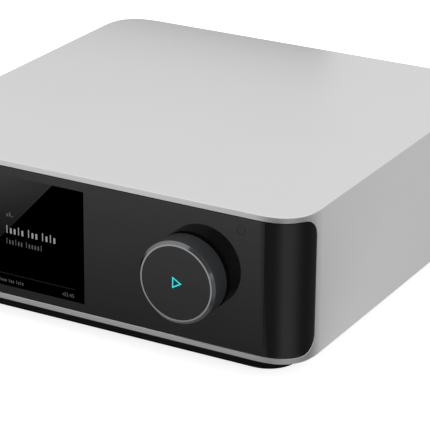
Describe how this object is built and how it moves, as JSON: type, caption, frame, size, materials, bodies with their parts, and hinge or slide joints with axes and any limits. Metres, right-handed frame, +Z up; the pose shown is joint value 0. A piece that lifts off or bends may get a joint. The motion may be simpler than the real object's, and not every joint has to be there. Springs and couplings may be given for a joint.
{
  "type": "streaming amplifier",
  "caption": "Square metal network amplifier with a wrapped black glass front, a colour display, a press-and-turn knob and a recessed rear bay of sockets and speaker posts.",
  "frame": {"origin": "middle of the base pad, on the surface that it stands on, under the middle of the metal body", "axes": "+Z up, front with display and knob at -Y, sockets at +Y, +X to the right seen from the front"},
  "size_m": [0.2, 0.217, 0.073],
  "materials": {
    "body_aluminium": "satin anodised",
    "gloss_black": "polished",
    "black_glass": "back-printed black glass",
    "screen": "dark lit panel",
    "knob_black": "black anodised, bright cut edge",
    "light_cyan": "lit light guide",
    "receiver_dark": "dark red-black moulding",
    "black_plastic": "fine matte moulding",
    "red_plastic": "gloss moulding",
    "white_plastic": "gloss moulding",
    "rubber": "matte silicone",
    "bright_metal": "nickel plated",
    "sheet_steel": "zinc plated sheet",
    "screw_steel": "black screws",
    "board": "green circuit board",
    "ribbon": "amber flexible circuit",
    "switch_brown": "moulded plunger",
    "socket_black": "moulded socket",
    "sink_aluminium": "plain extrusion",
    "ferrite": "ferrite and copper winding",
    "capacitor_can": "sleeved cans"
  },
  "bodies": {
    "chassis": {"shell": "body_aluminium", "front_fascia": "gloss_black", "front_glass": "black_glass", "display_panel": "screen", "ir_receiver": "receiver_dark", "base_plinth": "black_plastic", "rear_panel": "black_plastic", "rear_frame": "black_plastic", "encoder_housing": "black_plastic", "optical_socket": "black_plastic", "mains_inlet": "black_plastic", "post_collars_black": "black_plastic", "rca_insulator_black": "black_plastic", "trigger_jack": "black_plastic", "push_switches": "black_plastic", "main_chips": "black_plastic", "post_collars_red": "red_plastic", "rca_insulator_red": "red_plastic", "rca_insulator_white": "white_plastic", "board_headers": "white_plastic", "base_pad": "rubber", "rca_contacts": "bright_metal", "post_studs": "bright_metal", "mains_pins": "bright_metal", "hdmi_socket": "bright_metal", "usb_socket": "bright_metal", "display_bracket": "sheet_steel", "knob_bracket": "sheet_steel", "screw_lugs": "sheet_steel", "case_screws": "screw_steel", "board_screws": "screw_steel", "main_board": "board", "power_board": "board", "jack_board": "board", "knob_board": "board", "antennas": "board", "display_flex": "ribbon", "ethernet_socket": "socket_black", "heat_sink": "sink_aluminium", "transformer": "ferrite", "filter_coils": "ferrite", "capacitors": "capacitor_can", "mains_filter": "capacitor_can"},
    "knob_carriage": {"knob_carrier": "sheet_steel", "knob_face": "black_glass", "play_icon": "light_cyan", "knob_yoke": "sheet_steel", "switch_plunger": "switch_brown"},
    "knob_dial": {"knob_ring": "knob_black", "encoder_rotor": "black_plastic"},
    "pairing_key": {"pairing_button": "black_plastic"},
    "optical_flap": {"optical_shutter": "black_plastic"},
    "post_washer_body_1": {"post_clamp_1": "red_plastic"},
    "post_cap_body_1": {"post_cap_1": "red_plastic"},
    "post_washer_body_2": {"post_clamp_2": "black_plastic"},
    "post_cap_body_2": {"post_cap_2": "black_plastic"},
    "post_washer_body_3": {"post_clamp_3": "red_plastic"},
    "post_cap_body_3": {"post_cap_3": "red_plastic"},
    "post_washer_body_4": {"post_clamp_4": "black_plastic"},
    "post_cap_body_4": {"post_cap_4": "black_plastic"}
  },
  "joints": [
    {"name": "knob_press", "type": "slide", "parent": "chassis", "child": "knob_carriage", "axis": [0, 1, 0], "range_m": [0, 0.0006], "stiffness_N_per_m": 4000, "springref_m": -0.0004},
    {"name": "knob_turn", "type": "hinge", "parent": "knob_carriage", "child": "knob_dial", "pos_m": [0.05152, -0.1, 0.0417], "axis": [0, 1, 0], "continuous": true},
    {"name": "pairing_press", "type": "slide", "parent": "chassis", "child": "pairing_key", "axis": [0, -1, 0], "range_m": [0, 0.0005], "stiffness_N_per_m": 1500, "springref_m": -0.0004},
    {"name": "optical_flap_swing", "type": "hinge", "parent": "chassis", "child": "optical_flap", "pos_m": [0.0125, 0.09, 0.0279], "axis": [-1, 0, 0], "range_deg": [0, 80], "stiffness_Nm_per_rad": 0.0003, "springref_deg": -20.05},
    {"name": "post_slide_1", "type": "slide", "parent": "chassis", "child": "post_washer_body_1", "axis": [0, 1, 0], "range_m": [0, 0.004]},
    {"name": "post_turn_1", "type": "hinge", "parent": "post_washer_body_1", "child": "post_cap_body_1", "pos_m": [-0.0692, 0.0954, 0.05], "axis": [0, 1, 0], "range_deg": [0, 1440]},
    {"name": "post_slide_2", "type": "slide", "parent": "chassis", "child": "post_washer_body_2", "axis": [0, 1, 0], "range_m": [0, 0.004]},
    {"name": "post_turn_2", "type": "hinge", "parent": "post_washer_body_2", "child": "post_cap_body_2", "pos_m": [-0.0492, 0.0954, 0.05], "axis": [0, 1, 0], "range_deg": [0, 1440]},
    {"name": "post_slide_3", "type": "slide", "parent": "chassis", "child": "post_washer_body_3", "axis": [0, 1, 0], "range_m": [0, 0.004]},
    {"name": "post_turn_3", "type": "hinge", "parent": "post_washer_body_3", "child": "post_cap_body_3", "pos_m": [-0.0292, 0.0954, 0.05], "axis": [0, 1, 0], "range_deg": [0, 1440]},
    {"name": "post_slide_4", "type": "slide", "parent": "chassis", "child": "post_washer_body_4", "axis": [0, 1, 0], "range_m": [0, 0.004]},
    {"name": "post_turn_4", "type": "hinge", "parent": "post_washer_body_4", "child": "post_cap_body_4", "pos_m": [-0.0092, 0.0954, 0.05], "axis": [0, 1, 0], "range_deg": [0, 1440]}
  ],
  "couplings": [
    {"joint": "post_turn_1", "follows": "post_slide_1", "rad_per_m": 6283.2},
    {"joint": "post_turn_2", "follows": "post_slide_2", "rad_per_m": 6283.2},
    {"joint": "post_turn_3", "follows": "post_slide_3", "rad_per_m": 6283.2},
    {"joint": "post_turn_4", "follows": "post_slide_4", "rad_per_m": 6283.2}
  ]
}
